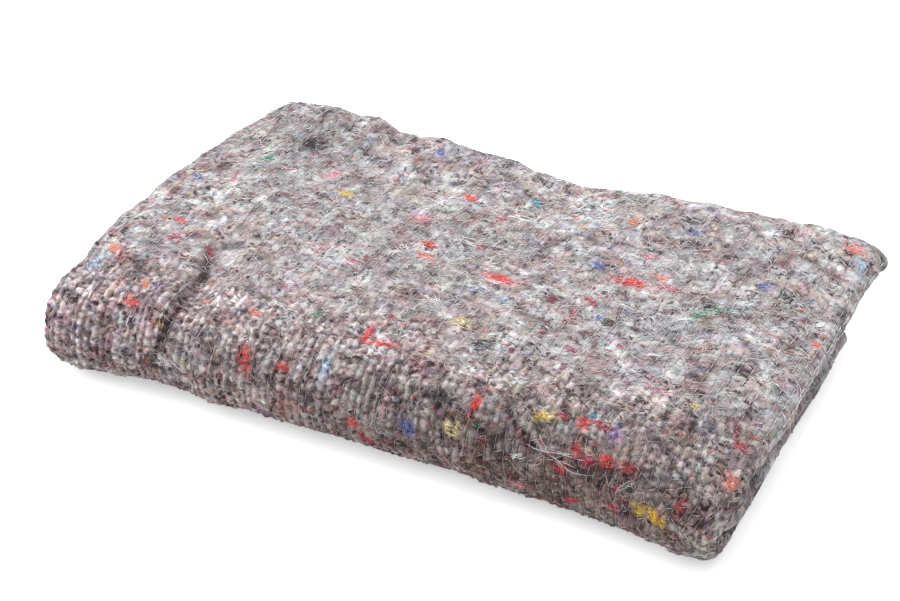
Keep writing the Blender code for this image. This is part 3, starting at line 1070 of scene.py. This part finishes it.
def scattered(skin, strewn, material):
    """Tufts strewn over the felt: many small ones and a few large."""
    rng = np.random.default_rng(strewn.seed)
    count = strewn.count
    centres = open_places(rng, skin, count, more_in_front)
    long = (SHORTEST_TUFT + (strewn.longest - SHORTEST_TUFT) * rng.random(count) ** 3) * MM
    sizes = (long, long * rng.uniform(*TUFT_SHAPES, count), rng.normal(0.0, TUFTS_TURN, count))
    # The felt's colour under each tuft brings its painted light and shade with it.
    under = felt_colour(centres[:, 0], centres[:, 1], skin.marks)
    colours = under + strewn.own * (pick_tones(rng, strewn.tones, count) - under)
    strands, radii = strewn.strands, strewn.radii
    return clumps(skin, strewn.name, rng, centres, sizes, colours, strands, radii, material)


# --- the sewing thread --------------------------------------------------------------------

THREAD_COLOUR = (0.60, 0.59, 0.59)
THREAD_SHADES = (0.75, 1.15)
THREAD_DARKER_IN_FRONT = 0.4
THREAD_RADIUS = 0.22 * MM
THREAD_SWELLS = (0.8, 1.2)
STITCH_SHOWS = 0.95
FIRST_STITCH = 15 * MM
STITCH_STRAYS = 0.4 * MM
THREAD_WAVERS = 0.2 * MM

# The share of stitches that show, how much it varies with how matted the felt is, and how
# much it gains near the right end: most within the first distance, and none past the second.
STITCHES_SHOWING = 0.68
MATTED = Uneven(0.45, 45 * MM, 66)
CLEARER_BY = 0.25
THREAD_CLEARER_WITHIN = (60 * MM, 220 * MM)
STITCHES_CROSSING = 0.42

# How the thread lies over the cloth along a stitch, and how far over the nap, in
# millimetres, on the top and by how much less round the front fold.
STITCH_ARCH = (-0.05, 0.25, -0.05)
NAP_ON_TOP = 0.44
LESS_NAP_IN_FRONT = 0.29


def stitch_places(rng, skin):
    """The row of every stitch, and how far up the cloth each starts, row beside row."""
    open_at = skin.x[skin.open.max(axis=0) > 0]
    first = np.ceil(rib_phase(open_at[0], skin.marks))
    last = np.floor(rib_phase(open_at[-1], skin.marks))
    starts = np.arange(skin.marks.front_start + FIRST_STITCH, skin.marks.back_end, STITCH)
    row, start = np.meshgrid(np.arange(first, last + 1), starts)
    row, start = row.ravel(), start.ravel()
    start = start + np.where(row % 2 == 0, 0.0, STITCH / 2)
    return row, start + rng.normal(0.0, STITCH_STRAYS, len(row))


def sewing_thread(skin, material):
    """Stitches down every row, and the thread that crosses over from row to row."""
    rng = np.random.default_rng(61)
    row, start = stitch_places(rng, skin)
    at = skin.marks.skin_start + row * ROW_PITCH
    matted = unevenness(MATTED, at, start)
    clearer = CLEARER_BY * (1 - ease(*THREAD_CLEARER_WITHIN, row * ROW_PITCH))
    shows = rng.random(len(row)) < STITCHES_SHOWING + matted + clearer
    crosses = shows & (rng.random(len(row)) < STITCHES_CROSSING)
    share = np.array([0.0, 0.5, 1.0])
    waver = rng.normal(0.0, THREAD_WAVERS, (len(row), 3))
    to_side = rng.choice([-1, 1], len(row))[:, None]
    down_x = at[:, None] + waver
    down_y = start[:, None] + share * STITCH * STITCH_SHOWS
    over_x = at[:, None] + share * ROW_PITCH * to_side + waver
    over_y = start[:, None] + (share - 0.3) * STITCH / 2
    x = np.concatenate([down_x[shows], over_x[crosses]])
    y = np.concatenate([down_y[shows], over_y[crosses]])
    in_front = folded_share(y[:, 1:2], skin.marks)
    lift = np.array(STITCH_ARCH) * MM + (NAP_ON_TOP - LESS_NAP_IN_FRONT * in_front) * MM
    points, normals = lay_on(skin, x, y, lift)
    pale = rng.uniform(*THREAD_SHADES, (len(x), 1)) * (1 - THREAD_DARKER_IN_FRONT * in_front)
    colours = np.clip(np.array(THREAD_COLOUR) * pale, 0, 1)
    radius = THREAD_RADIUS * rng.uniform(*THREAD_SWELLS, len(x))
    return tubes("sewing_thread", points, normals, radius, colours, material)


# --- finishes -----------------------------------------------------------------------------


class Link:
    """An output of a shader node, for use in Python expressions."""

    def __init__(self, finish, socket):
        self.finish, self.socket = finish, socket

    def beside(self, output):
        """Another output of the same node."""
        return Link(self.finish, self.socket.node.outputs[output])

    def _math(self, operation, first, second):
        return self.finish.node("ShaderNodeMath", {"operation": operation}, {0: first, 1: second})

    def __add__(self, other):
        return self._math("ADD", self, other)

    __radd__ = __add__

    def __mul__(self, other):
        return self._math("MULTIPLY", self, other)

    __rmul__ = __mul__

    def __sub__(self, other):
        return self._math("SUBTRACT", self, other)

    def __rsub__(self, other):
        return self._math("SUBTRACT", other, self)

    def __truediv__(self, other):
        return self._math("DIVIDE", self, other)

    def __pow__(self, other):
        return self._math("POWER", self._math("MAXIMUM", self, 0.0), other)

    def __abs__(self):
        return self._math("ABSOLUTE", self, 0.0)

    def whole(self, way):
        """The whole number at the value: way is ROUND or FLOOR."""
        return self._math(way, self, 0.0)

    def held(self, low=0.0, high=1.0):
        """The value, kept between two levels."""
        return self._math("MINIMUM", self._math("MAXIMUM", self, low), high)


class Finish:
    """A material that is put together node by node."""

    def __init__(self, name):
        self.material = bpy.data.materials.new(name)
        self.material.use_nodes = True
        self.tree = self.material.node_tree
        self.shader = self.tree.nodes["Principled BSDF"]

    def node(self, kind, settings=None, inputs=None, output=0):
        """Adds a node: its settings first, then the values or links of its sockets."""
        made = self.tree.nodes.new(kind)
        for name, value in (settings or {}).items():
            if name == "stops":
                ramp = made.color_ramp
                while len(ramp.elements) > 1:
                    ramp.elements.remove(ramp.elements[-1])
                ramp.elements[0].position = value[0][0]
                ramp.elements[0].color = (*value[0][1], 1.0)
                for place, colour in value[1:]:
                    ramp.elements.new(place).color = (*colour, 1.0)
            elif name == "blend":
                made.color_ramp.interpolation = value
            else:
                setattr(made, name, value)
        for name, value in (inputs or {}).items():
            self.feed(made.inputs[name], value)
        return Link(self, made.outputs[output])

    def feed(self, socket, value):
        """Links a socket, or sets it."""
        if isinstance(value, Link):
            self.tree.links.new(value.socket, socket)
        else:
            socket.default_value = value

    def mix(self, factor, first, second, way="MIX"):
        """Two colours mixed, or laid on each other in another way."""
        settings = {"data_type": "RGBA", "blend_type": way}
        inputs = {0: factor, 6: colour_of(first), 7: colour_of(second)}
        return self.node("ShaderNodeMix", settings, inputs, 2)

    def noise(self, place, size, detail, distortion=0.0, shift=0.0):
        """Noise over the cloth whose humps are about this size."""
        moved = self.node("ShaderNodeMapping", {}, {"Vector": place, "Location": (shift, shift, 0.0)})
        inputs = {"Vector": moved, "Scale": 1.0 / size, "Detail": detail, "Distortion": distortion}
        return self.node("ShaderNodeTexNoise", {"noise_dimensions": "2D"}, inputs)

    def shade(self, **sockets):
        """Sets or links the shader's sockets."""
        for name, value in sockets.items():
            self.feed(self.shader.inputs[name.replace("_", " ")], value)
        return self.material


def colour_of(value):
    """A colour with its fourth number, or the link as it is."""
    return value if isinstance(value, Link) else (*value, 1.0)


# Nubs: how large they are, how far they are pushed about and over what size, and how soft
# the borders between them are.
NUB = 4.6 * MM
NUB_WARP = 3.6 * MM
NUB_WARP_SIZE = 7 * MM
NUB_SOFTNESS = 0.35

# Tints of single nubs, as shares of all nubs up to each place, in order.
NUB_TINTS = (
    (0.00, (1.00, 1.00, 1.00)), (0.30, (1.00, 0.90, 0.90)), (0.39, (0.96, 0.98, 1.00)),
    (0.48, (0.92, 0.85, 0.80)), (0.54, (1.00, 1.00, 1.00)), (0.62, (0.88, 0.94, 1.00)),
    (0.67, (1.00, 0.99, 0.97)), (0.76, (0.93, 0.96, 0.89)), (0.79, (0.93, 0.90, 1.00)),
    (0.82, (1.00, 0.80, 0.82)), (0.845, (0.82, 0.68, 0.65)), (0.87, (0.98, 0.98, 1.00)),
    (0.962, (1.00, 0.55, 0.54)), (0.970, (0.62, 0.70, 0.96)), (0.976, (1.00, 0.85, 0.62)),
    (0.981, (0.66, 0.87, 0.78)), (0.985, (1.00, 1.00, 1.00)),
)

# How light the felt is for its tone, from the darkest pits to the palest fibres.
SHADE_STOPS = (
    (0.0, (0.13, 0.095, 0.11)), (0.25, (0.51, 0.465, 0.485)), (0.5, (0.97, 0.965, 0.965)),
    (0.75, (1.30, 1.33, 1.33)), (1.0, (1.53, 1.59, 1.59)),
)


def nubs_of(felt, place):
    """How far each place lies from the middle of its nub, and two chances of that nub's own."""
    stir = felt.node("ShaderNodeTexNoise", {"noise_dimensions": "2D"},
                     {"Vector": place, "Scale": 1 / NUB_WARP_SIZE, "Detail": 1.0}, 1)
    pushed = felt.node("ShaderNodeVectorMath", {"operation": "MULTIPLY_ADD"},
                       {0: stir, 1: (NUB_WARP, NUB_WARP, 0.0), 2: place})
    out = felt.node("ShaderNodeTexVoronoi", {"voronoi_dimensions": "2D", "feature": "SMOOTH_F1"},
                    {"Vector": pushed, "Scale": 1 / NUB, "Smoothness": NUB_SOFTNESS})
    chance = felt.node("ShaderNodeSeparateColor", {}, {0: out.beside(1)})
    return out, chance, chance.beside(1)


def near_whole(value):
    """1 at each whole number, and 0 half way between two."""
    return 1 - abs(value - value.whole("ROUND")) * 2


def stitches_of(felt, place, skin_start):
    """How far the thread draws the felt in, at each stitch and all along its row: it sinks the relief
    there, and darkens the colour there as painted shade.
    """
    cloth = felt.node("ShaderNodeSeparateXYZ", {}, {0: place})
    wavy = felt.noise(place, 16 * MM, 1.0, shift=4.1) - 0.5
    row = (cloth - skin_start) / ROW_PITCH + wavy * 0.35
    stitch = cloth.beside(1) / STITCH + row.whole("FLOOR") * 0.5 + wavy * 0.8
    near_row = near_whole(row)
    worn = (felt.noise(place, 45 * MM, 1.0, shift=5.3) * 2.4 - 0.6).held()
    pit = (near_row ** 2.5) * (near_whole(stitch) ** 1.5) * worn
    return pit, (near_row ** 5) * worn


def felt_finish(skin_start):
    """Matted felt of torn-up cloth: nubs of many greys and tints, streaked with fibres."""
    felt = Finish("recycled_felt")
    place = felt.node("ShaderNodeUVMap", {"uv_map": "cloth"})
    nub, lightness, which = nubs_of(felt, place)
    pit, seam = stitches_of(felt, place, skin_start)

    # Two sizes of mottling, dark specks gathered in places, and streaks of fibres.
    fine = felt.noise(place, 2.6 * MM, 0.0, 0.4) - 0.5
    middling = felt.noise(place, 4.3 * MM, 0.5, 0.8, 0.31) - 0.5
    gathered = (felt.noise(place, 16 * MM, 1.0, shift=6.7) * 4 - 1.6).held()
    speck = ((felt.noise(place, 3.0 * MM, 0.0, 0.6, 7.9) - 0.56) * 7).held() * gathered
    lines = abs(felt.noise(place, 6.0 * MM, 1.0, 2.5, 0.83) - 0.5)
    streak = (1 - lines * 14).held()
    folded = felt.node("ShaderNodeAttribute", {"attribute_name": "folded"}, output=2)

    # The contrast is stronger round the front fold, where the felt is stretched.
    tone = (lightness - 0.5) * 0.40 + fine * (folded * 0.18 + 0.12)
    # Darker away from the middle of each nub: painted shade where the felt dips between nubs.
    tone = tone + middling * 0.72 - (nub - 0.3) * 0.20
    tone = 0.50 + tone * (folded * 0.47 + 0.69)
    # Pits at the stitches and seams along the rows are darker: painted shade in the holes and grooves
    # that the thread draws in.
    tone = tone + streak * 0.05 - pit * 0.22 - seam * 0.06 - speck * 0.42
    contrast = felt.node("ShaderNodeValToRGB", {"stops": SHADE_STOPS}, {0: tone})
    tint = felt.node("ShaderNodeValToRGB", {"stops": NUB_TINTS, "blend": "CONSTANT"}, {0: which})
    under = felt.node("ShaderNodeAttribute", {"attribute_name": "felt_colour"})
    colour = felt.mix(1.0, under, contrast, "MULTIPLY")
    colour = felt.mix(1.0, colour, tint, "MULTIPLY")

    height = speck * -0.4 + fine * 0.3 + middling * 0.9 - nub * 0.7 - pit * 0.9 - seam * 0.4
    height = height * (folded * 0.4 + 0.6)
    bump = felt.node("ShaderNodeBump", {}, {"Height": height, "Distance": 0.8 * MM, "Strength": 1.0})
    return felt.shade(Base_Color=colour, Roughness=0.95, Normal=bump, Specular_IOR_Level=0.15)


FIBRE_MOTTLE = 2.5 * MM
FIBRE_SHADES = ((0.72, 0.70, 0.70), (1.2, 1.2, 1.2))


def fibre_finish():
    """Loose fibres, each in the colour that it was given, a little uneven along it."""
    fibre = Finish("loose_fibres")
    place = fibre.node("ShaderNodeTexCoord", output=3)
    tint = fibre.node("ShaderNodeAttribute", {"attribute_name": "fibre_colour"})
    uneven = fibre.node("ShaderNodeTexNoise", {},
                        {"Vector": place, "Scale": 1 / FIBRE_MOTTLE, "Detail": 1.0})
    shade = fibre.mix(uneven, *FIBRE_SHADES)
    colour = fibre.mix(1.0, tint, shade, "MULTIPLY")
    return fibre.shade(Base_Color=colour, Roughness=0.85, Specular_IOR_Level=0.2)


# --- the studio ---------------------------------------------------------------------------

FLOOR_SIZE = 8.0
FLOOR_COLOUR = (0.85, 0.85, 0.85, 1.0)
FLOOR_GLOW = 0.35
WHITE = (1.0, 1.0, 1.0, 1.0)

Softbox = namedtuple("Softbox", "name place size power colour")
SOFTBOXES = (
    Softbox("overhead_softbox", (-0.45, 0.55, 1.9), 2.4, 100, (1.0, 1.0, 1.0)),
    Softbox("left_softbox", (-1.9, -0.9, 1.1), 1.6, 40, (1.0, 0.99, 0.97)),
)
AIR_COLOUR = (0.95, 0.97, 1.0, 1.0)
AIR_STRENGTH = 1.18

CAMERA_PLACE = (0.5873, -1.2105, 0.9816)
CAMERA_DIPS = 34.94
CAMERA_TURNS = 26.43
CAMERA_LENS = 92.0
CAMERA_SENSOR = 36.0
CAMERA_NEAR = 0.05


def white_floor():
    """A pale floor that glows a little, as a lit sweep of paper does."""
    bpy.ops.mesh.primitive_plane_add(size=FLOOR_SIZE, location=(0.0, 0.0, 0.0))
    floor = bpy.context.object
    floor.name = "floor"
    paper = Finish("white_paper").shade(
        Base_Color=FLOOR_COLOUR, Roughness=0.9, Emission_Color=WHITE, Emission_Strength=FLOOR_GLOW
    )
    floor.data.materials.append(paper)


def soft_light(softbox):
    """A square soft light that is turned to the middle of the floor."""
    bpy.ops.object.light_add(type="AREA", location=softbox.place)
    light = bpy.context.object
    light.name = softbox.name
    light.data.shape = "SQUARE"
    light.data.size = softbox.size
    light.data.energy = softbox.power
    light.data.color = softbox.colour
    light.rotation_euler = (-Vector(softbox.place)).to_track_quat("-Z", "Y").to_euler()


def studio():
    """A pale floor, soft light from above and the left, and the camera."""
    white_floor()
    for softbox in SOFTBOXES:
        soft_light(softbox)
    world = bpy.data.worlds.new("studio_air")
    bpy.context.scene.world = world
    world.use_nodes = True
    air = world.node_tree.nodes["Background"]
    air.inputs["Color"].default_value = AIR_COLOUR
    air.inputs["Strength"].default_value = AIR_STRENGTH

    bpy.ops.object.camera_add(location=CAMERA_PLACE)
    camera = bpy.context.object
    camera.rotation_euler = (math.radians(90 - CAMERA_DIPS), 0.0, math.radians(CAMERA_TURNS))
    camera.data.sensor_width = CAMERA_SENSOR
    camera.data.lens = CAMERA_LENS
    camera.data.clip_start = CAMERA_NEAR
    bpy.context.scene.camera = camera
    bpy.context.scene.view_settings.view_transform = "Standard"


def main():
    """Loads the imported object, dresses it, and says how it is held."""
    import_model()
    bpy.ops.object.select_all(action="DESELECT")
    studio()
    length_run = run_length(CLOTH_LENGTH, LAYER_PITCH)
    width_run = run_length(CLOTH_WIDTH, BUNDLE_PITCH)
    columns = folded_strip(length_run, LAYER_PITCH, LENGTH_RUNS, LENGTH_TURNS, 1)
    rows = folded_strip(width_run, BUNDLE_PITCH, WIDTH_RUNS, WIDTH_TURNS, -1)
    skin, shift = skin_of(columns, rows)
    felt = finish_piece(felt_sheet(skin, columns, rows, shift), felt_finish(skin.marks.skin_start))
    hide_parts("blanket")
    fibre = fibre_finish()
    loose = [
        sewing_thread(skin, fibre),
        short_fibres(skin, "short_fibres", SHORT_FIBRES, 31, fibre),
        short_fibres(skin, "more_short_fibres", SHORT_FIBRES, 32, fibre),
        long_fibres(skin, fibre),
        placed_flecks(skin, fibre),
        scattered(skin, COLOURED_FLECKS, fibre),
        scattered(skin, DARK_TUFTS, fibre),
    ]


main()
